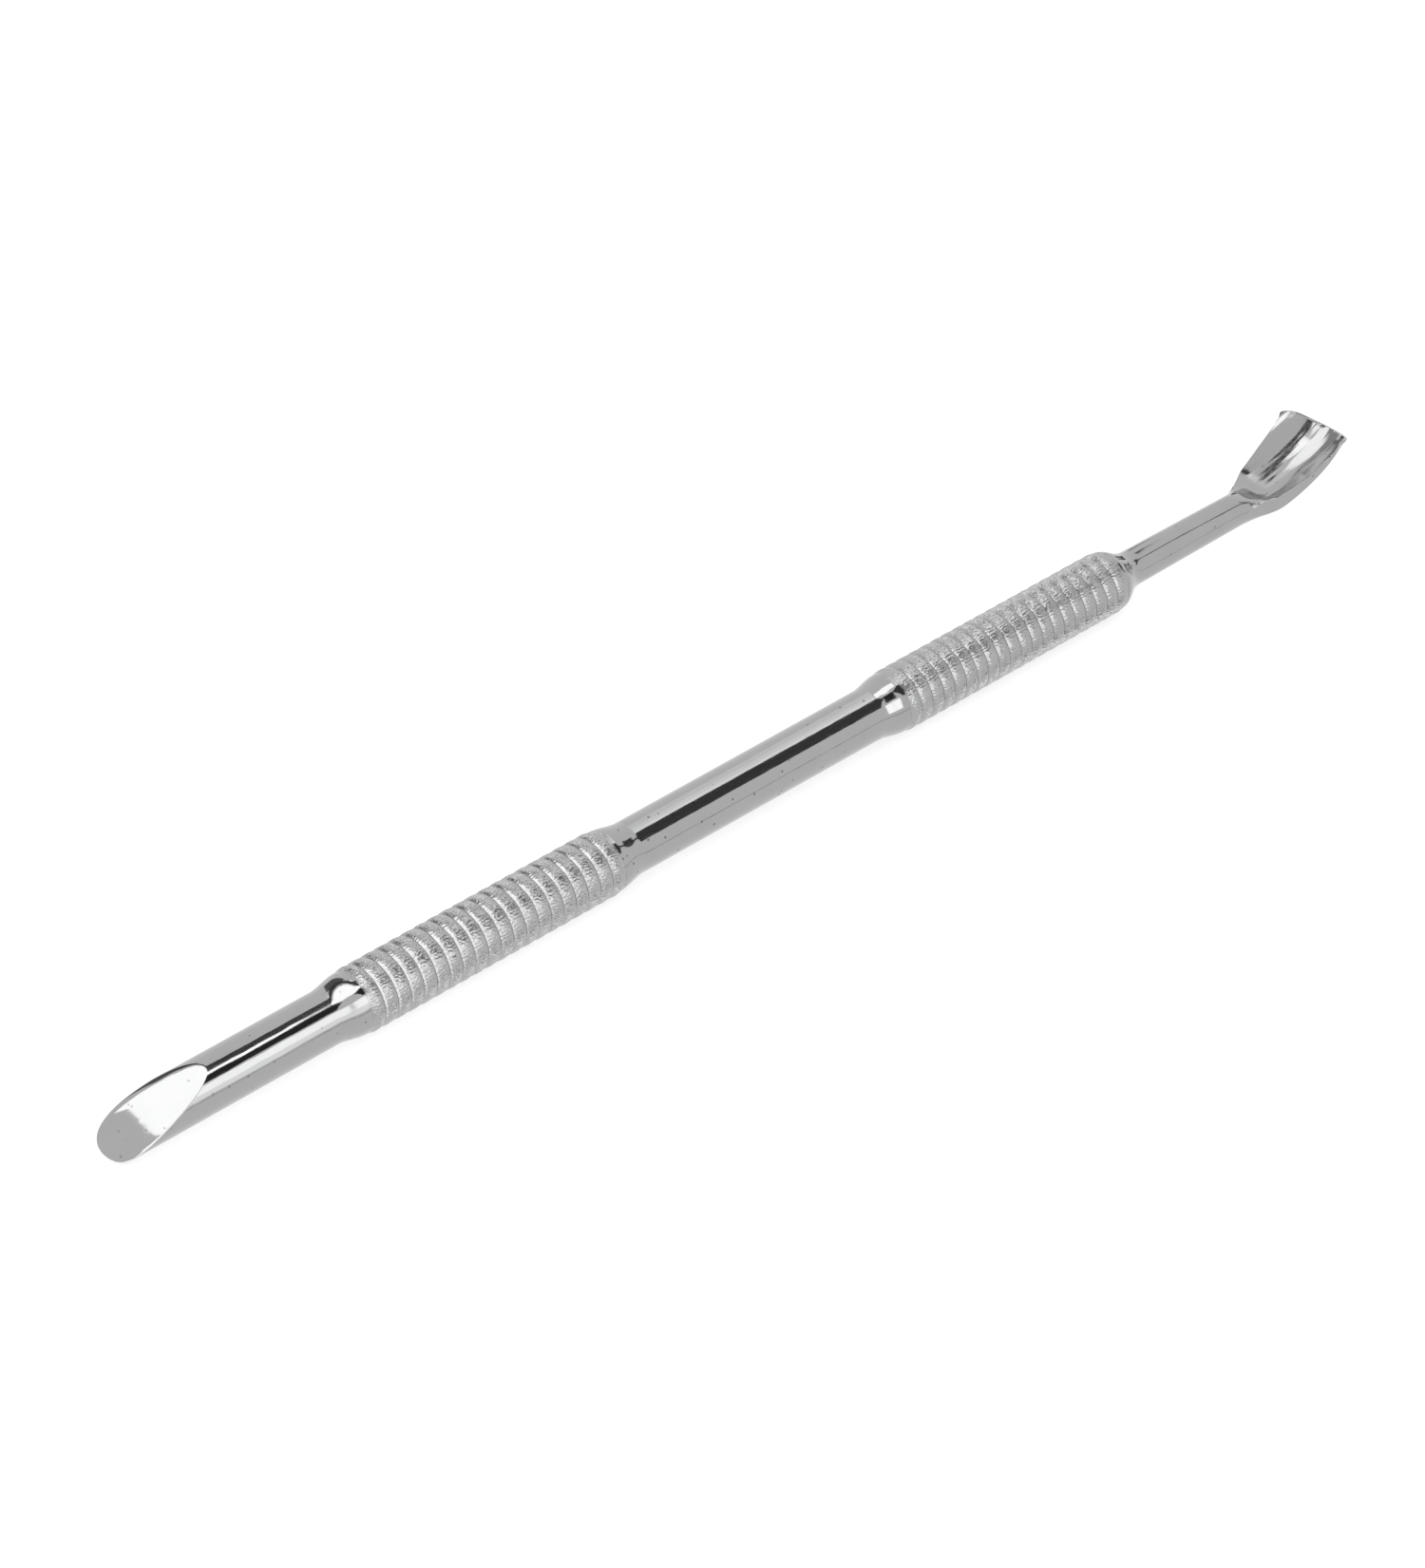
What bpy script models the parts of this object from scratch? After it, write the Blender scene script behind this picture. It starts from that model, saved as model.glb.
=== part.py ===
"""Double-ended metal cuticle pusher: slant-ground scraper, two ribbed grips, flared spoon.

The tool's axis runs along +X, towards the spoon, and the spoon's bowl opens upwards (+Z).
The origin is the middle of the tool's length, at the height of the surface it lies on.
"""
import math

import bmesh
import bpy

MM = 0.001

# ---- driving dimensions, in millimetres -------------------------------------------------
SIDES = 24                      # facets round every turned piece; one of them faces down

END_ROD_DIAMETER = 4.55         # scraper rod and waist
GRIP_DIAMETER = 5.55            # over the crowns of the ribs
GROOVE_DIAMETER = 5.25          # at the floor of the grooves between the ribs
SEAT_DIAMETER = 5.30            # shoulders that the grip sleeves butt against
SLEEVE_END_DIAMETER = 5.34      # outer edge of a sleeve's end face
SLEEVE_BORE_DIAMETER = 4.00
SPIGOT_DIAMETER = 3.90
BUTT_GAP = 0.05                 # between a sleeve's end face and its shoulder

SCRAPER_LENGTH = 23.35          # tip of the slant to the left sleeve
GRIP_LENGTH = 25.85             # each sleeve
WAIST_LENGTH = 31.45            # between the sleeves, both cones included
RIB_COUNT = 20
GROOVE_WIDTH = 0.30
RIB_CROWN_SHARE = 0.45          # part of a rib's width that is its level crown
SPIGOT_LENGTH = 12.40           # each of the two that meet inside a sleeve
SPIGOT_CHAMFER = 0.30

CONE_LENGTH = 2.50              # between a sleeve and the scraper rod or the waist
SHOULDER_LENGTH = 3.50          # right grip down to the thin neck

SLANT_ROLL = math.radians(15)   # the ground face's turn about the axis, towards -Y
SLANT_RUN = 8.70                # length of the ground face along the axis, tip to heel
SLANT_CROWN = 1.95              # how much its middle stands proud of a straight slope

NECK_DIAMETER = 3.15            # at the shoulder
NECK_END_DIAMETER = 2.92        # where the bowl begins
NECK_LENGTH = 11.90
SPOON_LENGTH = 13.00
SPOON_WIDTH = 6.80              # across the tip
SPOON_EDGE_BOW = 1.80           # how far the tip's middle stands before its corners
SPOON_FLARE = 0.95              # exponent of the width along the spoon; higher is narrower
BOWL_RADIUS = 5.40              # of the hollow, across the spoon
RIM_DIP = 1.00                  # lowest height of the rim above the axis
RIM_RISE = 3.40                 # from there up to the tip's corners
RIM_DIP_SHARE = 0.25            # where the rim is lowest, as a share of the spoon's length
RIM_UPSWEEP = 1.35              # exponent of the rim's rise; higher rises later
BOWL_HEEL_SHARE = 0.40          # where the neck has fully become the bowl
HEEL_WALL = 1.70                # height of the spoon's side wall at its heel
TIP_WALL = 0.475                # and at its tip
HEEL_BELLY = 0.70               # how far the underside hangs below the side walls' foot
TIP_BELLY = 1.65
WALL_THINNING = 1.3             # exponent of the side wall's change from heel to tip
BELLY_GROWTH = 1.5              # exponent of the belly's change from heel to tip

SPOON_STATIONS = 18             # outlines along the spoon
SLANT_RINGS = (1.0, 0.7, 0.4, 0.15)     # outlines on the ground face, rim first, as shares

TOTAL_LENGTH = (SCRAPER_LENGTH + 2 * GRIP_LENGTH + WAIST_LENGTH
                + SHOULDER_LENGTH + NECK_LENGTH + SPOON_LENGTH)

# ---- stations along the axis, measured from the middle of the length -------------------
TIP_X = -TOTAL_LENGTH / 2
LEFT_GRIP_X = TIP_X + SCRAPER_LENGTH
WAIST_X = LEFT_GRIP_X + GRIP_LENGTH
RIGHT_GRIP_X = WAIST_X + WAIST_LENGTH
SHOULDER_X = RIGHT_GRIP_X + GRIP_LENGTH
NECK_X = SHOULDER_X + SHOULDER_LENGTH
SPOON_X = NECK_X + NECK_LENGTH

HALF_FACET = math.pi / SIDES
AXIS_HEIGHT = GRIP_DIAMETER / 2 * math.cos(HALF_FACET)


def clear_scene():
    for existing in list(bpy.data.objects):
        bpy.data.objects.remove(existing, do_unlink=True)


def steel(name, colour, roughness):
    material = bpy.data.materials.new(name)
    material.use_nodes = True
    shader = material.node_tree.nodes["Principled BSDF"]
    shader.inputs["Base Color"].default_value = (*colour, 1.0)
    shader.inputs["Metallic"].default_value = 1.0
    shader.inputs["Roughness"].default_value = roughness
    return material


def smooth_step(share):
    """0 to 1 along an S-curve, level at both ends."""
    return share * share * (3 - 2 * share)


def s_cone(start_x, length, start_radius, end_radius, steps=6):
    """Profile points down or up an S-shaped cone, both ends included."""
    points = []
    for step in range(steps + 1):
        share = step / steps
        radius = start_radius + (end_radius - start_radius) * smooth_step(share)
        points.append((start_x + length * share, radius))
    return points


def ring(mesh, x, radius):
    """One polygon of points round the axis, with a facet at the bottom."""
    points = []
    for side in range(SIDES):
        angle = 2 * math.pi * side / SIDES + HALF_FACET
        across = radius * math.sin(angle) * MM
        height = (AXIS_HEIGHT - radius * math.cos(angle)) * MM
        points.append(mesh.verts.new((x * MM, across, height)))
    return points


def bridge(mesh, first, second):
    """Side faces between two polygons of equal count."""
    count = len(first)
    for side in range(count):
        after = (side + 1) % count
        mesh.faces.new((first[side], first[after], second[after], second[side]))


def add_object(name, mesh, material):
    bmesh.ops.recalc_face_normals(mesh, faces=mesh.faces)
    if mesh.calc_volume(signed=True) < 0:
        bmesh.ops.reverse_faces(mesh, faces=mesh.faces)
    data = bpy.data.meshes.new(name)
    mesh.to_mesh(data)
    mesh.free()
    data.shade_smooth()
    data.set_sharp_from_angle(angle=math.radians(35))
    data.materials.append(material)
    made = bpy.data.objects.new(name, data)
    bpy.context.collection.objects.link(made)
    return made


def turned(mesh, profile):
    """The skin of a solid of revolution from (x, radius) points, closed where it starts."""
    rings = [ring(mesh, x, radius) for x, radius in profile]
    for first, second in zip(rings, rings[1:]):
        bridge(mesh, first, second)
    mesh.faces.new(rings[0])
    return rings[-1]


def turned_tube(mesh, outside, bore_radius):
    """A tube from its outer profile and one straight bore."""
    start_x = outside[0][0]
    end_x = outside[-1][0]
    profile = outside + [(end_x, bore_radius), (start_x, bore_radius)]
    rings = [ring(mesh, x, radius) for x, radius in profile]
    for first, second in zip(rings, rings[1:] + rings[:1]):
        bridge(mesh, first, second)


def spigot(shoulder_x, direction):
    """Profile points of a spigot and its shoulder, from its free end to the shoulder."""
    radius = SPIGOT_DIAMETER / 2
    free_x = shoulder_x + direction * SPIGOT_LENGTH
    return [(free_x, radius - SPIGOT_CHAMFER),
            (free_x - direction * SPIGOT_CHAMFER, radius),
            (shoulder_x, radius)]


# ---- the pieces ------------------------------------------------------------------------
def make_grip_sleeve(name, start_x, material):
    """A ribbed tube: level crowns with sloped sides between narrow turned grooves."""
    pitch = GRIP_LENGTH / RIB_COUNT
    crown_width = pitch * RIB_CROWN_SHARE
    slope_width = (pitch - GROOVE_WIDTH - crown_width) / 2
    crown = GRIP_DIAMETER / 2
    floor = GROOVE_DIAMETER / 2
    edge = SLEEVE_END_DIAMETER / 2
    outside = [(start_x, edge)]
    for rib in range(RIB_COUNT):
        rib_x = start_x + pitch * rib
        crown_x = rib_x + GROOVE_WIDTH / 2 + slope_width
        if rib > 0:
            outside.append((rib_x + GROOVE_WIDTH / 2, floor))
        outside.append((crown_x, crown))
        outside.append((crown_x + crown_width, crown))
        if rib < RIB_COUNT - 1:
            outside.append((rib_x + pitch - GROOVE_WIDTH / 2, floor))
    outside.append((start_x + GRIP_LENGTH, edge))
    mesh = bmesh.new()
    turned_tube(mesh, outside, SLEEVE_BORE_DIAMETER / 2)
    return add_object(name, mesh, material)


def make_waist(material):
    """The bar between the grips: a spigot, a cone, the waist, a cone and a spigot."""
    rod = END_ROD_DIAMETER / 2
    seat = SEAT_DIAMETER / 2
    left_x = WAIST_X + BUTT_GAP
    right_x = RIGHT_GRIP_X - BUTT_GAP
    profile = spigot(left_x, -1)
    profile += s_cone(left_x, CONE_LENGTH, seat, rod)
    profile += s_cone(right_x - CONE_LENGTH, CONE_LENGTH, rod, seat)
    profile += reversed(spigot(right_x, 1))
    mesh = bmesh.new()
    last = turned(mesh, profile)
    mesh.faces.new(last)
    return add_object("waist_bar", mesh, material)


def slant_point(mesh, angle, share):
    """A point of the ground face, at a share of the way from its middle to the rod's surface.

    The face is straight across the rod and crowned along it, so it is steepest at the tip.
    """
    rod = END_ROD_DIAMETER / 2
    height = share * math.cos(math.pi - angle - SLANT_ROLL)
    slope = SLANT_RUN / 2 * (1 + height) - SLANT_CROWN * (1 - height * height)
    return mesh.verts.new(((TIP_X + slope) * MM,
                           share * rod * math.sin(angle) * MM,
                           (AXIS_HEIGHT - share * rod * math.cos(angle)) * MM))


def make_scraper_end(material):
    """The solid rod ground off at a slant, its cone and its spigot."""
    shoulder_x = LEFT_GRIP_X - BUTT_GAP
    profile = spigot(shoulder_x, 1)
    profile += s_cone(shoulder_x, -CONE_LENGTH, SEAT_DIAMETER / 2, END_ROD_DIAMETER / 2)
    mesh = bmesh.new()
    last = turned(mesh, profile)
    for share in SLANT_RINGS:
        outline = []
        for side in range(SIDES):
            angle = 2 * math.pi * side / SIDES + HALF_FACET
            outline.append(slant_point(mesh, angle, share))
        bridge(mesh, last, outline)
        last = outline
    mesh.faces.new(last)
    return add_object("scraper_end", mesh, material)


def make_spoon_end(material):
    """Spigot, shoulder, thin neck and the flared, upswept bowl."""
    shoulder_x = SHOULDER_X + BUTT_GAP
    profile = spigot(shoulder_x, -1)
    profile += s_cone(shoulder_x, SHOULDER_LENGTH, SEAT_DIAMETER / 2, NECK_DIAMETER / 2)
    mesh = bmesh.new()
    last = turned(mesh, profile)
    for station in range(SPOON_STATIONS + 1):
        outline = spoon_outline(mesh, station / SPOON_STATIONS)
        bridge(mesh, last, outline)
        last = outline
    mesh.faces.new(last)
    return add_object("spoon_end", mesh, material)


def spoon_outline(mesh, share):
    """One closed outline across the spoon, from the neck (0) to the tip edge (1).

    Every outline has SIDES points, in the order of the neck's polygon. It blends from the
    neck's circle to a scoop: a hollow upper face, two side walls and a rounded underside.
    """
    neck = NECK_END_DIAMETER / 2
    blend = smooth_step(min(1.0, share / BOWL_HEEL_SHARE))
    half_width = neck + (SPOON_WIDTH / 2 - neck) * math.sin(math.pi / 2 * share) ** SPOON_FLARE
    rise = max(0.0, share - RIM_DIP_SHARE) / (1 - RIM_DIP_SHARE)
    rim = RIM_DIP + RIM_RISE * rise ** RIM_UPSWEEP
    hollow = BOWL_RADIUS - math.sqrt(BOWL_RADIUS ** 2 - half_width ** 2)
    wall_foot = rim - HEEL_WALL + (HEEL_WALL - TIP_WALL) * share ** WALL_THINNING
    belly = HEEL_BELLY + (TIP_BELLY - HEEL_BELLY) * share ** BELLY_GROWTH
    corner_x = SPOON_X + (SPOON_LENGTH - SPOON_EDGE_BOW) * share
    widest = math.cos(HALF_FACET)
    points = []
    for side in range(SIDES):
        angle = 2 * math.pi * side / SIDES + HALF_FACET
        down = math.cos(angle)
        across = math.sin(angle) / widest
        towards_middle = 1 - across * across
        if down < 0:
            scoop = rim - hollow * towards_middle
        else:
            scoop = wall_foot - belly * towards_middle
        height = -neck * down * (1 - blend) + scoop * blend
        width = neck * math.sin(angle) * (1 - blend) + half_width * across * blend
        x = corner_x + SPOON_EDGE_BOW * share * towards_middle
        points.append(mesh.verts.new((x * MM, width * MM, (AXIS_HEIGHT + height) * MM)))
    return points


def build():
    clear_scene()
    polished = steel("polished_steel", (0.62, 0.62, 0.63), 0.12)
    ground = steel("ground_steel", (0.64, 0.64, 0.65), 0.18)
    knurled = steel("knurled_steel", (0.56, 0.56, 0.57), 0.35)
    bowl_steel = steel("bowl_steel", (0.60, 0.60, 0.61), 0.20)
    make_scraper_end(ground)
    make_grip_sleeve("left_grip_sleeve", LEFT_GRIP_X, knurled)
    make_waist(polished)
    make_grip_sleeve("right_grip_sleeve", RIGHT_GRIP_X, knurled)
    make_spoon_end(bowl_steel)


build()
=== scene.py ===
import math

import bmesh
import bpy
import numpy as np
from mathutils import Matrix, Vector


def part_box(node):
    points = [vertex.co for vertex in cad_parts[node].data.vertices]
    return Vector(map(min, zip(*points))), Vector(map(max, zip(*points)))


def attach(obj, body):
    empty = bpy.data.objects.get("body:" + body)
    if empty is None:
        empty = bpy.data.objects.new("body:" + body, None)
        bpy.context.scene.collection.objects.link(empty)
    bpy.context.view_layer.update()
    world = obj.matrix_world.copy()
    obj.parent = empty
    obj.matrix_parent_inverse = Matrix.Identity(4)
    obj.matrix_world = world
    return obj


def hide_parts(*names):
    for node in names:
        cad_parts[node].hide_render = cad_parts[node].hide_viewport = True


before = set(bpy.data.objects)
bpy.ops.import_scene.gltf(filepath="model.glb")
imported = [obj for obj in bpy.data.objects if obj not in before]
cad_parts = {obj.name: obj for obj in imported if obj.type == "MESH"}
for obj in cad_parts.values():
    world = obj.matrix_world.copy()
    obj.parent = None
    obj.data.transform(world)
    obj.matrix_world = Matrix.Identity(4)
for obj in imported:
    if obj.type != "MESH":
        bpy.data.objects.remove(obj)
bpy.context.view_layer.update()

MM = 0.001

# ---- what the frame says ---------------------------------------------------------------
LEFT_LOW, LEFT_HIGH = (Vector(corner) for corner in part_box("left_grip_sleeve"))
RIGHT_LOW, RIGHT_HIGH = (Vector(corner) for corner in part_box("right_grip_sleeve"))
TIP_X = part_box("scraper_end")[0][0]
SPOON_TIP_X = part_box("spoon_end")[1][0]
SPOON_HALF_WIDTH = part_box("spoon_end")[1][1]
AXIS_Z = (LEFT_LOW.z + LEFT_HIGH.z) / 2
CROWN = (LEFT_HIGH.z - LEFT_LOW.z) / 2
GRIP_LENGTH = LEFT_HIGH.x - LEFT_LOW.x

# ---- sizes that the boxes don't give, in metres ----------------------------------------
ROD = 2.26 * MM                 # radius of the scraper rod and the waist
SEAT = 2.65 * MM                # radius of the shoulders beside the sleeves
BORE = 2.00 * MM                # radius of the hole through a sleeve
SPIGOT = 1.94 * MM              # radius of the spigots in it
SPIGOT_LENGTH = 12.3 * MM
SPIGOT_CHAMFER = 0.3 * MM
SEAM = 0.010 * MM               # gap between a sleeve's end and its shoulder
RIB_COUNT = 20
RIB_PITCH = GRIP_LENGTH / RIB_COUNT
GROOVE_HALF_WIDTH = 0.22 * MM
GROOVE_DEPTH = 0.055 * MM
RIB_DOME = 0.080 * MM           # how far a rib's edges lie below its crown
TEETH = 60                      # round one rib
TOOTH_DEPTH = 0.038 * MM
CRUMB_DEPTH = 0.014 * MM
WEAR = 0.30                     # how much the depth of the teeth varies, to each side
TOOTH_SHIFT = 0.55              # how far a tooth wanders sideways; pi is one tooth
GROOVE_SHARE = 0.3              # depth of the teeth in a groove, as a share of a rib's
GROOVE_FLAT = 0.05 * MM         # the teeth stay that shallow this far from a groove's middle
GROOVE_EASE = 0.10 * MM         # and reach their full depth over this length
END_RIB = 0.5                   # ribs from a grip's end to the first crown
END_EASE = 0.60                 # ribs over which an end rises from the shoulder
FRINGE = 0.30                   # where the knurl runs out at a grip's ends, in ribs
FRINGE_EASE = 0.12
WAVES = 18                      # waves that make up one unevenness
WAVE_SUM = 4.2                  # a typical peak of their sum
# For each unevenness: its seed, the range of its waves' turns round a grip, the shortest wave.
WEAR_WAVES = (3, (2, 40), 0.6 * MM)
SHIFT_WAVES = (5, (4, 30), 0.9 * MM)
CRUMB_WAVES = (7, (25, 75), 0.30 * MM)
FRINGE_WAVES = (11, (15, 70), MM)
CONE_LENGTH = 2.7 * MM
SHOULDER = 3.5 * MM             # length of the longer cone beside the spoon's neck
SHOULDER_HASTE = 1.6            # above 1, the shoulder is steeper at the grip
NECK = 1.57 * MM                # radius at the shoulder
NECK_END = 1.46 * MM            # and at the spoon
SPOON_LENGTH = 13.0 * MM
SPOON_EDGE_BOW = 1.8 * MM       # how far the tip's edge bulges past its corners
SPOON_CORNER_ROUND = 0.9 * MM
SPOON_FLARE = 0.95              # exponent of the width along the spoon
BOWL_RADIUS = 5.4 * MM          # of the hollow, across the spoon
RIM_DIP = 1.0 * MM              # height of the rim over the axis at the spoon's start
RIM_RISE = 3.40 * MM            # from there to the tip
RIM_DIP_SHARE = 0.25            # share of the spoon's length before the rim rises
RIM_UPSWEEP = 1.35              # exponent of the rim's rise
BOWL_HEEL_SHARE = 0.40          # share over which the neck turns into the spoon
BOWL_FLOOR_SHARE = 0.28         # the bowl's floor drops sooner than its underside swells
HEEL_WALL = 1.70 * MM           # thickness of the side wall at the heel and the tip
TIP_WALL = 0.475 * MM
WALL_THINNING = 1.3             # exponent of its change
HEEL_BELLY = 0.70 * MM          # how far the underside hangs below the wall's foot
TIP_BELLY = 1.65 * MM
BELLY_GROWTH = 1.5
LIP = 0.45 * MM                 # length over which the tip's edge rounds over
LIP_TURNS = np.radians([15, 30, 45, 57, 68, 78, 86])
TIP_POWER = 8                   # the higher, the closer to the tip its roundings stay
WALL_FOOT = math.radians(84)    # turns round an outline where the side wall starts and ends
WALL_RIM = math.radians(96)
OUTLINE_SMOOTHINGS = 2
SLANT_ROLL = math.radians(15)   # turn of the ground face about the axis
FAR_SIDE = math.radians(128)    # turns round the axis of the face's rounder edges
NEAR_SIDE = math.radians(-25)
SLANT_RUN = 8.70 * MM           # length of the face along the axis
SLANT_CROWN = 1.95 * MM         # how far it bulges past a flat slant
SLANT_RIM = 0.16 * MM           # radius of the polished edge round the ground face
SLANT_FAR_RIM = 0.80 * MM       # what is added to it on the far side, ground rounder
SLANT_FAR_POWER = 5             # the higher, the shorter that side is
SLANT_NEAR_RIM = 0.26 * MM      # what is added to it at the foot of the near side
SLANT_NEAR_POWER = 3
SLANT_RIM_DEPTH = 1.25          # where the edge meets the rod, in radii of the edge
SLANT_RIM_TURNS = np.radians([0, 18, 36, 54, 72, 90])
SLANT_RINGS = (0.97, 0.93, 0.86, 0.78, 0.70, 0.60, 0.50, 0.40, 0.30, 0.20, 0.12, 0.05, 0.02)

# ---- how finely things are divided -----------------------------------------------------
AROUND = 144                    # points round the smooth pieces
POINTS_PER_TOOTH = 6
ROWS_PER_RIB = 20
CONE_RINGS = 23
NECK_RINGS = 12
BOWL_RINGS = 73
CARD_ROWS = 13
SHARP_EDGE = math.radians(40)   # edges that turn more than this are not shaded smooth

# ---- steel -----------------------------------------------------------------------------
CLOUD_SCALE = 420               # clouds of tone to the metre
PIT_SCALE = 900                 # cells to the metre, with one pit in the middle of each
PIT_SIZE = 0.13                 # radius of a pit in cells
STREAK_RANGE = (0.35, 0.7)      # noise values that stand for the smoothest and roughest steel
RELIEF_HEIGHT = 0.01 * MM

# ---- camera and studio, in metres ------------------------------------------------------
CAMERA_AZIMUTH = math.radians(-43.21)
CAMERA_ELEVATION = math.radians(36.28)
CAMERA_DISTANCE = 0.420
AIM_X = 37.79 * MM              # from the left grip's start
AIM_LEFT = 0.1665 * MM          # how far the aim is shifted in the picture's plane
AIM_UP = 1.2865 * MM
SENSOR_WIDTH = 36               # millimetres, as the next one
FOCAL_LENGTH = 121.0909

WORLD_BRIGHTNESS = 1.08
PAPER_ROUGHNESS = 0.9
FLOOR_SIZE = 8.0
FLOOR_TONE = 0.60
FLOOR_GLOW = 0.62
FAR_CARDS = 0.30                # radius of the arc on which the studio's cards stand
NEAR_CARDS = 0.15               # of the arc for cards that only the scraper should see
CLOSE_CARDS = 0.05              # of the arc for the left grip's cards and the bowl's
CLOSEST_CARDS = 0.02            # of the arc for the right grip's cards and one of the bowl's
BEHIND = 0.02                   # how much further out a card stands that others overlap


# ---- mesh helpers ----------------------------------------------------------------------
def smooth_step(share):
    share = np.clip(share, 0.0, 1.0)
    return share * share * (3 - 2 * share)


def s_cone(start_x, length, start_radius, end_radius, early=1.0):
    """Profile points along an S-shaped cone. early above 1 makes it steeper at its start."""
    share = np.linspace(0, 1, CONE_RINGS)
    ease = smooth_step(1 - (1 - share) ** early)
    radius = start_radius + (end_radius - start_radius) * ease
    return list(zip(start_x + length * share, radius))


def spigot(shoulder_x, direction):
    """Profile points from a spigot's free end to its shoulder."""
    free_x = shoulder_x + direction * SPIGOT_LENGTH
    return [(free_x, SPIGOT - SPIGOT_CHAMFER),
            (free_x - direction * SPIGOT_CHAMFER, SPIGOT),
            (shoulder_x, SPIGOT)]


def grid_object(name, points, loop=False):
    """A mesh from rows of points that close round. loop joins the last row to the first."""
    rows, count = points.shape[:2]
    faces = []
    last_row = rows if loop else rows - 1
    for row in range(last_row):
        start = row * count
        after = (row + 1) % rows * count
        for column in range(count):
            beside = (column + 1) % count
            faces.append((start + column, start + beside, after + beside, after + column))
    if not loop:
        faces.append(tuple(range(count)))
        faces.append(tuple(range((rows - 1) * count, rows * count)))
    mesh = bpy.data.meshes.new(name)
    mesh.from_pydata(points.reshape(-1, 3).tolist(), [], faces)
    return closed_object(name, mesh)


def closed_object(name, mesh):
    """Turns the faces outwards, shades the mesh smooth and links it."""
    work = bmesh.new()
    work.from_mesh(mesh)
    bmesh.ops.recalc_face_normals(work, faces=work.faces)
    if work.calc_volume(signed=True) < 0:
        bmesh.ops.reverse_faces(work, faces=work.faces)
    work.to_mesh(mesh)
    work.free()
    mesh.shade_smooth()
    mesh.set_sharp_from_angle(angle=SHARP_EDGE)
    made = bpy.data.objects.new(name, mesh)
    bpy.context.collection.objects.link(made)
    return made


def profile_rows(profile, angle):
    """Rows of points round the tool's axis, from (x, radius) pairs."""
    stations = np.array([x for x, radius in profile])[:, None]
    radii = np.array([radius for x, radius in profile])[:, None]
    return rows_round_axis(stations, radii, angle)


def rows_round_axis(stations, radii, angle):
    """Points from axis stations and radii. The angle is measured from straight down."""
    radii = np.broadcast_to(radii, (stations.shape[0], angle.shape[0]))
    x = np.broadcast_to(stations, radii.shape)
    return np.stack([x, radii * np.sin(angle), AXIS_Z - radii * np.cos(angle)], axis=-1)


# ---- knurled grips ---------------------------------------------------------------------
def wave_noise(x, angle, seed, turns_range, finest):
    """Smooth repeatable unevenness, about -1 to 1. finest is the shortest wave along x."""
    generator = np.random.default_rng(seed)
    total = np.zeros(np.broadcast(x, angle).shape)
    for _ in range(WAVES):
        turns = generator.integers(*turns_range)
        along = generator.uniform(-1, 1) * 2 * math.pi / finest
        phase = generator.uniform(0, 2 * math.pi)
        total += np.sin(turns * angle + along * x + phase)
    return total / WAVE_SUM


def rib_radius(place):
    """Radius at a place along the grip, in ribs: domed ribs between round-bottomed grooves."""
    offset = np.abs(place - np.round(place)) * RIB_PITCH
    from_crown = 1 - offset / (RIB_PITCH / 2)
    domed = CROWN - RIB_DOME * from_crown ** 2
    groove_share = np.clip(offset / GROOVE_HALF_WIDTH, 0, 1)
    groove = GROOVE_DEPTH * (1 + np.cos(math.pi * groove_share)) / 2
    return domed - groove


def knurl_depth(stations, place, to_end, angle):
    """Depth of the strokes along the axis, crumbled by a finer grain, shallow in grooves."""
    offset = np.abs(place - np.round(place)) * RIB_PITCH
    on_rib = GROOVE_SHARE + (1 - GROOVE_SHARE) * smooth_step((offset - GROOVE_FLAT) / GROOVE_EASE)
    on_rib = np.where(to_end < END_RIB, 1.0, on_rib)
    wear = 1 - WEAR + WEAR * wave_noise(stations, angle, *WEAR_WAVES)
    shift = TOOTH_SHIFT * wave_noise(stations, angle, *SHIFT_WAVES)
    tooth = np.abs(np.sin(TEETH / 2 * angle + shift))
    crumbs = wave_noise(stations, angle, *CRUMB_WAVES)
    depth = np.maximum(0, TOOTH_DEPTH * (1 - tooth) * wear + CRUMB_DEPTH * crumbs)
    ragged = FRINGE * (0.5 + 0.5 * wave_noise(0 * stations, angle, *FRINGE_WAVES))
    return depth * on_rib * smooth_step((to_end - ragged) / FRINGE_EASE)


def make_grip(node, low):
    """A ribbed tube with real knurl teeth, uneven and worn as rolled teeth are."""
    angle = np.linspace(0, 2 * math.pi, TEETH * POINTS_PER_TOOTH, endpoint=False)
    place = np.linspace(0, RIB_COUNT, RIB_COUNT * ROWS_PER_RIB + 1)[:, None]
    stations = low.x + place * RIB_PITCH

    # The first and last ribs run down to the shoulders instead of into a groove.
    to_end = np.minimum(place, RIB_COUNT - place)
    end_radius = SEAT + (CROWN - SEAT) * smooth_step(to_end / END_EASE)
    radius = np.where(to_end < END_RIB, end_radius, rib_radius(place))
    radius = radius - knurl_depth(stations, place, to_end, angle)

    outside = rows_round_axis(stations, radius, angle)
    ends = np.array([[stations[-1, 0]], [stations[0, 0]]])
    bore = rows_round_axis(ends, np.array([[BORE], [BORE]]), angle)
    return grid_object("grip_" + node, np.concatenate([outside, bore]), loop=True)


# ---- smooth pieces ---------------------------------------------------------------------
def make_waist():
    """The bar between the grips, with a cone and a spigot at each end."""
    angle = np.linspace(0, 2 * math.pi, AROUND, endpoint=False)
    left_x = LEFT_HIGH.x + SEAM
    right_x = RIGHT_LOW.x - SEAM
    profile = spigot(left_x, -1)
    profile += s_cone(left_x, CONE_LENGTH, SEAT, ROD)
    profile += s_cone(right_x - CONE_LENGTH, CONE_LENGTH, ROD, SEAT)
    profile += reversed(spigot(right_x, 1))
    return grid_object("waist", profile_rows(profile, angle))


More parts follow.
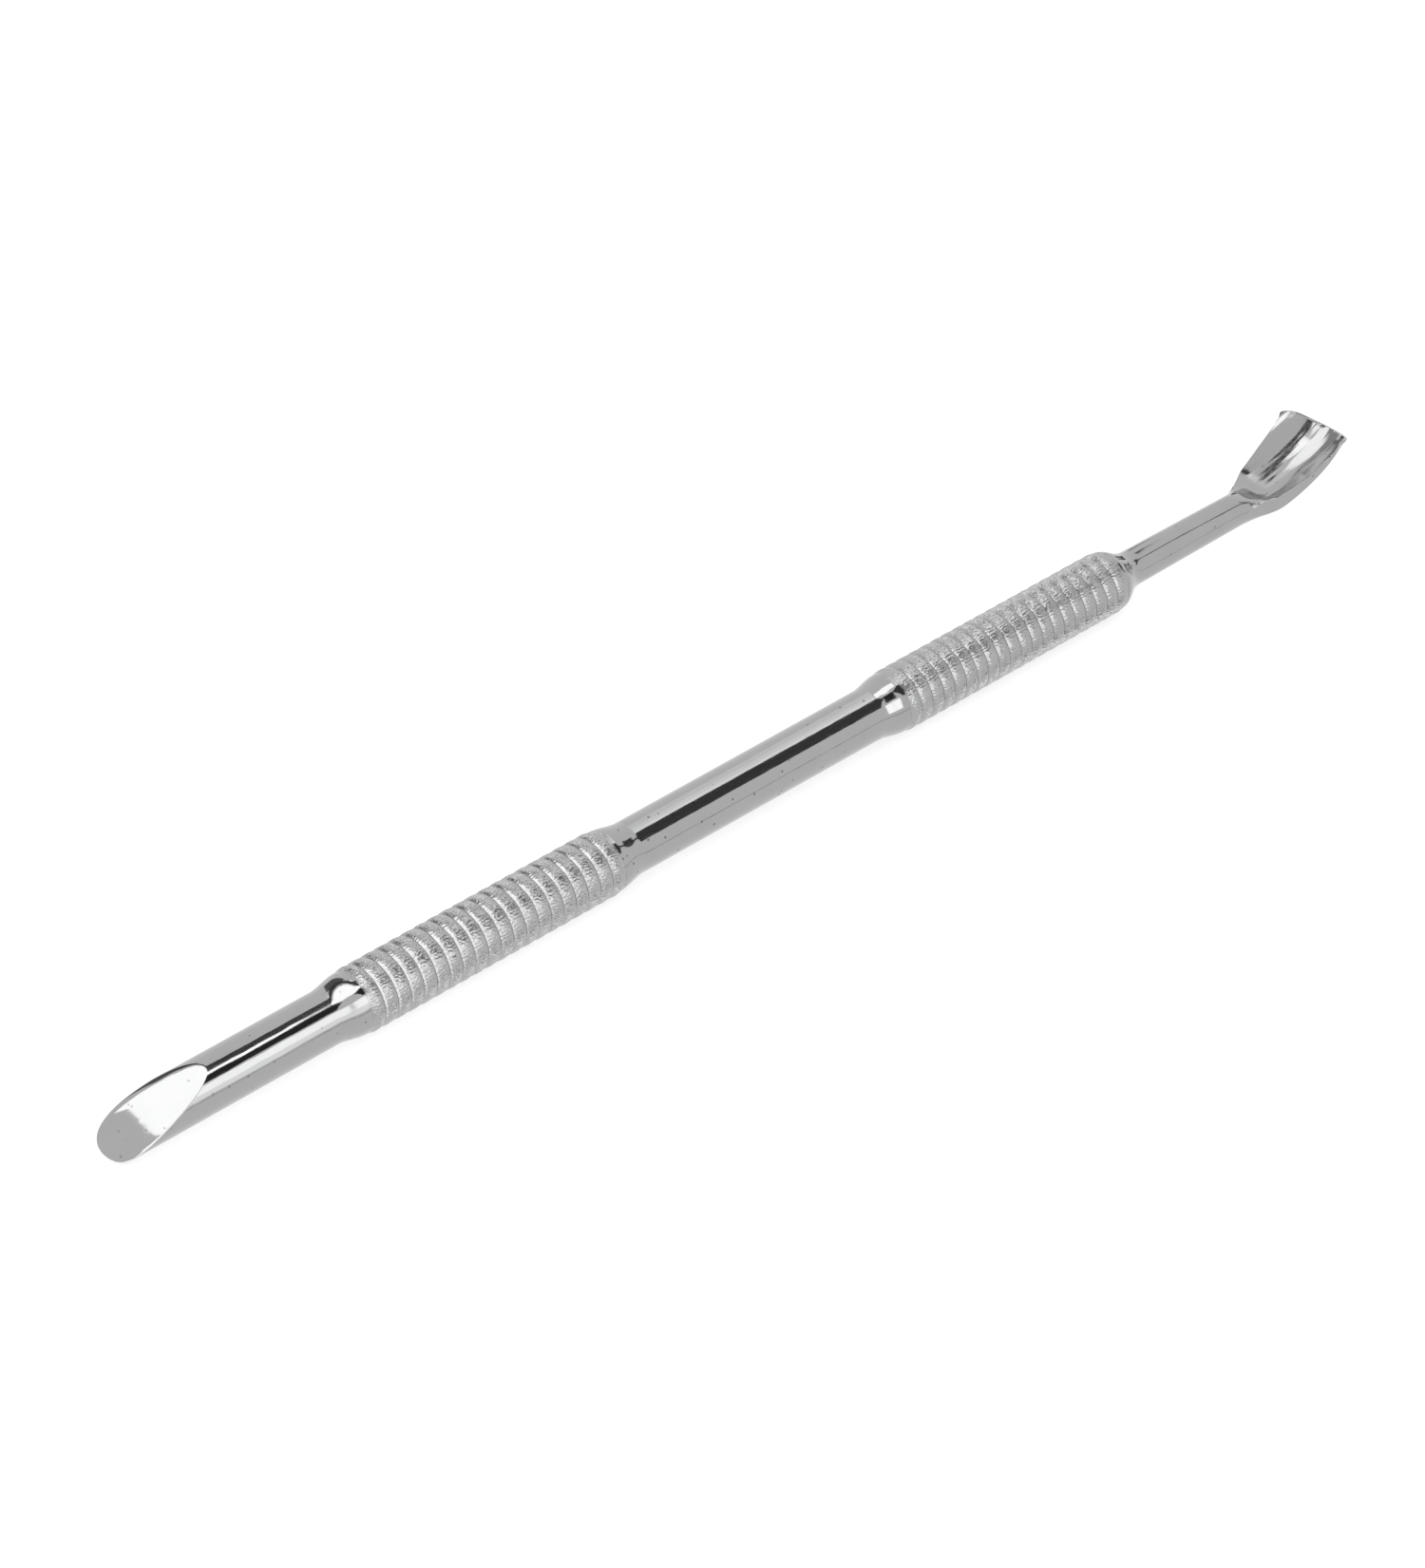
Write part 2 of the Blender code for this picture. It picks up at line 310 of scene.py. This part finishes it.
def slant_row(share, angle, ahead=0.0):
    """Points of the ground face, at a share of the way from its middle to the rod's surface."""
    height = share * np.cos(angle - math.pi - SLANT_ROLL)
    slope = SLANT_RUN / 2 * (1 + height) - SLANT_CROWN * (1 - height ** 2)
    x = TIP_X + slope + ahead
    across = share * ROD * np.sin(angle)
    return np.stack([x, across, AXIS_Z - share * ROD * np.cos(angle)], axis=-1)


def make_scraper():
    """The rod with its ground face and the narrow polished edge round that face."""
    shoulder_x = LEFT_LOW.x - SEAM
    profile = spigot(shoulder_x, 1)
    profile += s_cone(shoulder_x, -CONE_LENGTH, SEAT, ROD)
    angle = np.linspace(0, 2 * math.pi, AROUND, endpoint=False)
    far_side = (1 + np.cos(angle - FAR_SIDE)) / 2
    near_side = (1 + np.cos(angle - NEAR_SIDE)) / 2
    rim = (SLANT_RIM + SLANT_FAR_RIM * far_side ** SLANT_FAR_POWER
           + SLANT_NEAR_RIM * near_side ** SLANT_NEAR_POWER)
    rows = [profile_rows(profile, angle)]
    rows.append(slant_row(1.0, angle, rim * SLANT_RIM_DEPTH)[None])
    for turn in SLANT_RIM_TURNS:
        share = 1 - rim / ROD * (1 - math.cos(turn))
        rows.append(slant_row(share, angle, rim * (1 - math.sin(turn)))[None])
    inner = 1 - rim / ROD
    for step in SLANT_RINGS:
        rows.append(slant_row(inner * step, angle)[None])
    return grid_object("scraper", np.concatenate(rows))


def smooth_outline(values):
    """Evens out a closed row of values, each with its two neighbours."""
    for _ in range(OUTLINE_SMOOTHINGS):
        values = (values + (np.roll(values, 1) + np.roll(values, -1)) / 2) / 2
    return values


def scoop_height(share, turn, across, half_width, edge_turn):
    """Height of the spoon's outline over the axis: hollow above, belly below, walls between."""
    rise = max(0.0, share - RIM_DIP_SHARE) / (1 - RIM_DIP_SHARE)
    rim = RIM_DIP + RIM_RISE * rise ** RIM_UPSWEEP
    hollow = BOWL_RADIUS - math.sqrt(BOWL_RADIUS ** 2 - half_width ** 2)
    wall_foot = rim - HEEL_WALL + (HEEL_WALL - TIP_WALL) * share ** WALL_THINNING
    belly = HEEL_BELLY + (TIP_BELLY - HEEL_BELLY) * share ** BELLY_GROWTH

    upper = rim - hollow * (1 - across ** 2)
    lower = wall_foot - belly * (1 - across ** 2)
    wall = wall_foot + (rim - wall_foot) * (turn - WALL_FOOT) / (WALL_RIM - WALL_FOOT)
    scoop = np.where(turn < WALL_FOOT, lower, np.where(turn > WALL_RIM, upper, wall))
    middle = (upper + lower) / 2
    return middle + (scoop - middle) * math.cos(edge_turn)


def spoon_row(share, angle, edge_turn=0.0):
    """One outline across the spoon. edge_turn, up to a right angle, rounds the tip over."""
    turn = np.abs(angle)
    flare = math.sin(math.pi / 2 * share) ** SPOON_FLARE
    half_width = NECK_END + (SPOON_HALF_WIDTH - NECK_END) * flare
    across = np.clip(np.sin(turn) / math.sin(WALL_FOOT), 0, 1)
    scoop = scoop_height(share, turn, across, half_width, edge_turn)

    # The round neck turns into the spoon.
    blend = float(smooth_step(share / BOWL_HEEL_SHARE))
    sunk = np.where(turn > WALL_RIM, float(smooth_step(share / BOWL_FLOOR_SHARE)), blend)
    height = smooth_outline(-NECK_END * np.cos(angle) * (1 - sunk) + scoop * sunk)
    width = NECK_END * np.sin(turn) * (1 - blend) + half_width * across * blend
    width = smooth_outline(np.sign(angle) * width)

    # The tip's edge bows forward between its rounded corners.
    corner_x = SPOON_TIP_X - SPOON_LENGTH + (SPOON_LENGTH - SPOON_EDGE_BOW) * share
    aside = np.abs(width / half_width)
    x = corner_x + SPOON_EDGE_BOW * share * (1 - aside ** 2)
    into_corner = np.clip(1 - (1 - aside) * SPOON_HALF_WIDTH / SPOON_CORNER_ROUND, 0, 1)
    corner = SPOON_CORNER_ROUND * (1 - np.sqrt(1 - into_corner ** 2))
    x = x - (LIP * (1 - math.sin(edge_turn)) + corner) * share ** TIP_POWER
    return np.stack([x, width, AXIS_Z + height], axis=-1)


def make_spoon():
    """Shoulder, neck and the flared bowl, lofted from one end to the other."""
    shoulder_x = RIGHT_HIGH.x + SEAM
    neck_x = shoulder_x + SHOULDER
    spoon_x = SPOON_TIP_X - SPOON_LENGTH
    profile = spigot(shoulder_x, -1)
    profile += s_cone(shoulder_x, SHOULDER, SEAT, NECK, early=SHOULDER_HASTE)
    for share in np.linspace(0, 1, NECK_RINGS)[1:-1]:
        profile.append((neck_x + (spoon_x - neck_x) * share, NECK + (NECK_END - NECK) * share))
    angle = np.linspace(-math.pi, math.pi, AROUND, endpoint=False) + math.pi / AROUND
    rows = [profile_rows(profile, angle)]
    for share in np.linspace(0, 1, BOWL_RINGS):
        rows.append(spoon_row(share, angle)[None])
    for turn in LIP_TURNS:
        rows.append(spoon_row(1.0, angle, turn)[None])
    return grid_object("spoon", np.concatenate(rows))


# ---- materials -------------------------------------------------------------------------
def new_material(name):
    material = bpy.data.materials.new(name)
    material.use_nodes = True
    return material, material.node_tree.nodes, material.node_tree.links


def noise(nodes, links, coordinates, scale, stretch, detail):
    """A noise texture in metres, stretched by a factor along each axis."""
    mapping = nodes.new("ShaderNodeMapping")
    mapping.inputs["Scale"].default_value = stretch
    texture = nodes.new("ShaderNodeTexNoise")
    texture.inputs["Scale"].default_value = scale
    texture.inputs["Detail"].default_value = detail
    links.new(coordinates.outputs["Object"], mapping.inputs["Vector"])
    links.new(mapping.outputs["Vector"], texture.inputs["Vector"])
    return texture.outputs["Fac"]


def ramp(nodes, links, source, to_range, from_range):
    """Maps a texture's values in from_range onto to_range."""
    node = nodes.new("ShaderNodeMapRange")
    node.inputs["From Min"].default_value = from_range[0]
    node.inputs["From Max"].default_value = from_range[1]
    node.inputs["To Min"].default_value = to_range[0]
    node.inputs["To Max"].default_value = to_range[1]
    links.new(source, node.inputs["Value"])
    return node.outputs["Result"]


def bump(nodes, links, source, strength, height):
    node = nodes.new("ShaderNodeBump")
    node.inputs["Strength"].default_value = strength
    node.inputs["Distance"].default_value = height
    links.new(source, node.inputs["Height"])
    return node


def mix_colour(nodes, links, factor, colour):
    """A mix towards a colour. What it starts from is still to be set on socket A."""
    node = nodes.new("ShaderNodeMix")
    node.data_type = "RGBA"
    node.inputs["B"].default_value = colour
    links.new(factor, node.inputs["Factor"])
    return node


def shade(tone, red, green, blue):
    return (tone * red, tone * green, tone * blue, 1)


def pits(nodes, links, coordinates):
    """Small round specks, 1 in a pit and 0 elsewhere."""
    texture = nodes.new("ShaderNodeTexVoronoi")
    texture.inputs["Scale"].default_value = PIT_SCALE
    links.new(coordinates.outputs["Object"], texture.inputs["Vector"])
    return ramp(nodes, links, texture.outputs["Distance"], (1.0, 0.0), (PIT_SIZE / 2, PIT_SIZE))


def steel_colour(nodes, links, coordinates, tone, pit, pit_strength):
    """A tone that varies a little and is darker in the pits."""
    cloud = noise(nodes, links, coordinates, CLOUD_SCALE, (1, 1, 1), 4)
    clouded = mix_colour(nodes, links, cloud, shade(tone, 1.05, 1.05, 1.05))
    clouded.inputs["A"].default_value = shade(tone, 0.94, 0.945, 0.95)
    strength = ramp(nodes, links, pit, (0.0, pit_strength), (0.0, 1.0))
    pitted = mix_colour(nodes, links, strength, shade(tone, 0.35, 0.35, 0.36))
    links.new(clouded.outputs["Result"], pitted.inputs["A"])
    return pitted.outputs["Result"]


def steel(name, tone, rough_range, streak, pit_strength, relief, wave=None, wave_height=0.0):
    """Bright steel, whose roughness and relief follow the streaks of its finish.

    wave, if given, stretches a broad unevenness left by the grinding.
    """
    material, nodes, links = new_material(name)
    shader = nodes["Principled BSDF"]
    shader.inputs["Metallic"].default_value = 1.0
    coordinates = nodes.new("ShaderNodeTexCoord")
    pit = pits(nodes, links, coordinates)
    colour = steel_colour(nodes, links, coordinates, tone, pit, pit_strength)
    links.new(colour, shader.inputs["Base Color"])

    lines = noise(nodes, links, coordinates, 1.0, streak, 5)
    links.new(ramp(nodes, links, lines, rough_range, STREAK_RANGE), shader.inputs["Roughness"])

    height = nodes.new("ShaderNodeMath")
    height.operation = "SUBTRACT"
    links.new(lines, height.inputs[0])
    links.new(pit, height.inputs[1])
    fine = bump(nodes, links, height.outputs["Value"], relief, RELIEF_HEIGHT)
    links.new(fine.outputs["Normal"], shader.inputs["Normal"])
    if wave is not None:
        swell = noise(nodes, links, coordinates, 1.0, wave, 1.5)
        broad = bump(nodes, links, swell, 1.0, wave_height)
        links.new(broad.outputs["Normal"], fine.inputs["Normal"])
    return material


# ---- stage -----------------------------------------------------------------------------
def glowing_material(name, tone, brightness):
    """A matt grey that gives off white light of its own."""
    material, nodes, links = new_material(name)
    shader = nodes["Principled BSDF"]
    shader.inputs["Base Color"].default_value = (tone, tone, tone, 1)
    shader.inputs["Roughness"].default_value = PAPER_ROUGHNESS
    shader.inputs["Emission Color"].default_value = (1, 1, 1, 1)
    shader.inputs["Emission Strength"].default_value = brightness
    return material


def make_floor():
    """A pale sheet that glows a little, so that shadows on it stay faint."""
    bpy.ops.mesh.primitive_plane_add(size=FLOOR_SIZE, location=(0, 0, 0))
    floor = bpy.context.object
    floor.name = "floor"
    floor.data.materials.append(glowing_material("floor_paint", FLOOR_TONE, FLOOR_GLOW))
    floor.visible_glossy = False


def card(name, outline, brightness, radius):
    """A curved studio card round the tool's axis, seen only in the steel.

    The outline lists (x, lower turn, upper turn), with turns in degrees round the axis:
    0 is level in front, 90 overhead, 180 level behind.
    """
    vertices = []
    faces = []
    for x, low, high in outline:
        for turn in np.radians(np.linspace(low, high, CARD_ROWS)):
            vertices.append((x, -radius * math.cos(turn), radius * math.sin(turn)))
    for column in range(len(outline) - 1):
        for row in range(CARD_ROWS - 1):
            first = column * CARD_ROWS + row
            beside = first + CARD_ROWS
            faces.append((first, first + 1, beside + 1, beside))
    mesh = bpy.data.meshes.new(name)
    mesh.from_pydata(vertices, [], faces)
    made = bpy.data.objects.new(name, mesh)
    bpy.context.collection.objects.link(made)
    mesh.materials.append(glowing_material(name + "_paint", 0.0, brightness))
    made.visible_camera = False
    made.visible_shadow = False
    made.visible_diffuse = False


def strip(x_range, turn_range):
    """The outline of a card that is straight on all sides."""
    return [(x_range[0], *turn_range), (x_range[1], *turn_range)]


def make_studio():
    """An even white world, and the cards that the steel mirrors."""
    world = bpy.data.worlds.new("studio")
    world.use_nodes = True
    background = world.node_tree.nodes["Background"]
    background.inputs["Color"].default_value = (1, 1, 1, 1)
    background.inputs["Strength"].default_value = WORLD_BRIGHTNESS
    bpy.context.scene.world = world
    scraper_cards()
    grip_cards()
    spoon_cards()
    card("dark_over_waist", [(0.088, 69, 72), (0.165, 44, 85), (0.218, 43, 85),
                             (0.245, 58, 72), (0.275, 62, 69)], 0.06, FAR_CARDS)
    for low, high, brightness in ((86, 97, 1.70), (97, 112, 1.45), (112, 132, 1.28)):
        card("glow_over_waist", strip((0.168, 0.228), (low, high)), brightness, FAR_CARDS)
    card("dark_over_neck", [(0.280, 62, 69), (0.340, 62, 69), (0.380, 56, 66),
                            (0.460, 44, 58), (0.600, 30, 46)], 0.03, FAR_CARDS)
    card("dark_beyond_spoon", strip((0.390, 0.600), (60, 84)), 0.05, FAR_CARDS + BEHIND)
    card("bright_over_waist_cone", [(0.060, 75, 118), (0.088, 84, 103),
                                    (0.150, 86, 103)], 2.6, FAR_CARDS)
    card("bright_before_waist_cone", strip((0.050, 0.110), (8, 42)), 2.6, FAR_CARDS)
    card("horizon_line", strip((-1.2, 1.2), (-7.5, -5.5)), 0.45, FAR_CARDS)


def scraper_cards():
    """Cards that stand near the scraper, so that the spoon doesn't mirror them."""
    card("dark_over_rod_upper", [(-0.023, 122, 148), (-0.008, 106, 128), (0.009, 88, 108),
                                 (0.018, 83, 104), (0.037, 82, 104)], 0.06, NEAR_CARDS)
    card("dark_over_rod_lower", [(-0.023, 65, 68), (-0.003, 57, 70), (0.014, 50, 74),
                                 (0.050, 49, 74)], 0.02, NEAR_CARDS)
    card("bright_front", strip((-0.033, 0.042), (20, 45)), 2.3, NEAR_CARDS)
    card("pale_front", strip((-0.033, 0.042), (2, 20)), 1.75, NEAR_CARDS)
    card("bright_before_tip", strip((-0.180, -0.059), (-20, 66)), 2.45, NEAR_CARDS)
    card("dark_before_heel", strip((-0.058, -0.046), (-20, 45)), 0.10, NEAR_CARDS)
    card("bright_below_tip", strip((-0.356, -0.060), (-140, -30)), 2.5, NEAR_CARDS)
    card("bright_line", strip((0.008, 0.038), (73, 83)), 2.8, NEAR_CARDS + BEHIND)
    card("bright_overhead", [(-0.120, 70, 125), (-0.023, 68, 118), (-0.008, 70, 104),
                             (0.008, 73, 88)], 2.6, NEAR_CARDS + BEHIND)
    card("dark_behind_tip", strip((-0.055, 0.008), (128, 165)), 0.15, NEAR_CARDS + BEHIND)


def grip_cards():
    """Close cards that give the knurl something light and dark to mirror."""
    for side, x_range, radius in (("left", (-0.015, 0.013), CLOSE_CARDS),
                                  ("right", (0.030, 0.054), CLOSEST_CARDS)):
        card("dark_under_" + side, strip(x_range, (-44, -30)), 0.25, radius)
        card("bright_under_" + side, strip(x_range, (-66, -50)), 2.1, radius)
        card("dark_over_" + side, strip(x_range, (118, 130)), 0.25, radius)
        card("bright_over_" + side, strip(x_range, (136, 152)), 1.9, radius)


def spoon_cards():
    """Close cards that the bowl mirrors as bands along its length."""
    card("pale_before_bowl", [(0.055, 34, 66), (0.066, 44, 80), (0.080, 50, 106)], 1.00,
         CLOSE_CARDS)
    card("dark_line_over_bowl", [(0.055, 68, 77), (0.066, 82, 91), (0.082, 108, 116)], 0.10,
         CLOSE_CARDS)
    card("bright_over_bowl", [(0.055, 90, 118), (0.066, 102, 130), (0.077, 116, 140)], 2.3,
         CLOSE_CARDS)
    card("dim_behind_bowl", [(0.055, 120, 158), (0.066, 132, 168), (0.084, 146, 172)], 0.50,
         CLOSE_CARDS)
    card("dark_behind_bowl", strip((0.075, 0.086), (166, 212)), 0.05, CLOSEST_CARDS)


def make_camera():
    """The camera stands high to the front left of the tool, with the scraper nearer."""
    back = Vector((math.sin(CAMERA_AZIMUTH) * math.cos(CAMERA_ELEVATION),
                   -math.cos(CAMERA_AZIMUTH) * math.cos(CAMERA_ELEVATION),
                   math.sin(CAMERA_ELEVATION)))
    right = Vector((math.cos(CAMERA_AZIMUTH), math.sin(CAMERA_AZIMUTH), 0))
    up = back.cross(right)
    aim = Vector((LEFT_LOW.x + AIM_X, 0, AXIS_Z)) - right * AIM_LEFT + up * AIM_UP
    data = bpy.data.cameras.new("camera")
    data.sensor_width = SENSOR_WIDTH
    data.lens = FOCAL_LENGTH
    data.clip_start = 0.01
    camera = bpy.data.objects.new("camera", data)
    camera.location = aim + back * CAMERA_DISTANCE
    camera.rotation_euler = back.to_track_quat("Z", "Y").to_euler()
    bpy.context.collection.objects.link(camera)
    bpy.context.scene.camera = camera


def place(piece, node, slot, material):
    """Gives a piece its material, hangs it under the root body and hides the CAD node it stands
    for.
    """
    piece.data.materials.clear()
    piece.data.materials.append(material)
    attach(piece, "root")
    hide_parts(node)


def build():
    polished = steel("polished", tone=0.365, rough_range=(0.05, 0.12),
                     streak=(900, 9000, 9000), pit_strength=0.9, relief=0.12)
    ground = steel("ground", tone=0.37, rough_range=(0.05, 0.12),
                   streak=(500, 9000, 9000), pit_strength=0.5, relief=0.12,
                   wave=(250, 900, 900), wave_height=0.025 * MM)
    knurled = steel("knurled", tone=0.38, rough_range=(0.22, 0.34),
                    streak=(5000, 5000, 5000), pit_strength=0.3, relief=0.15)
    bowl = steel("bowl", tone=0.365, rough_range=(0.07, 0.16),
                 streak=(400, 8000, 8000), pit_strength=0.5, relief=0.10,
                 wave=(45, 800, 200), wave_height=0.20 * MM)
    place(make_scraper(), "scraper_end", "ground_steel", ground)
    place(make_grip("left", LEFT_LOW), "left_grip_sleeve", "knurled_steel", knurled)
    place(make_waist(), "waist_bar", "polished_steel", polished)
    place(make_grip("right", RIGHT_LOW), "right_grip_sleeve", "knurled_steel", knurled)
    place(make_spoon(), "spoon_end", "bowl_steel", bowl)
    make_floor()
    make_studio()
    make_camera()
    bpy.context.scene.view_settings.view_transform = "Standard"


build()
bpy.context.view_layer.update()
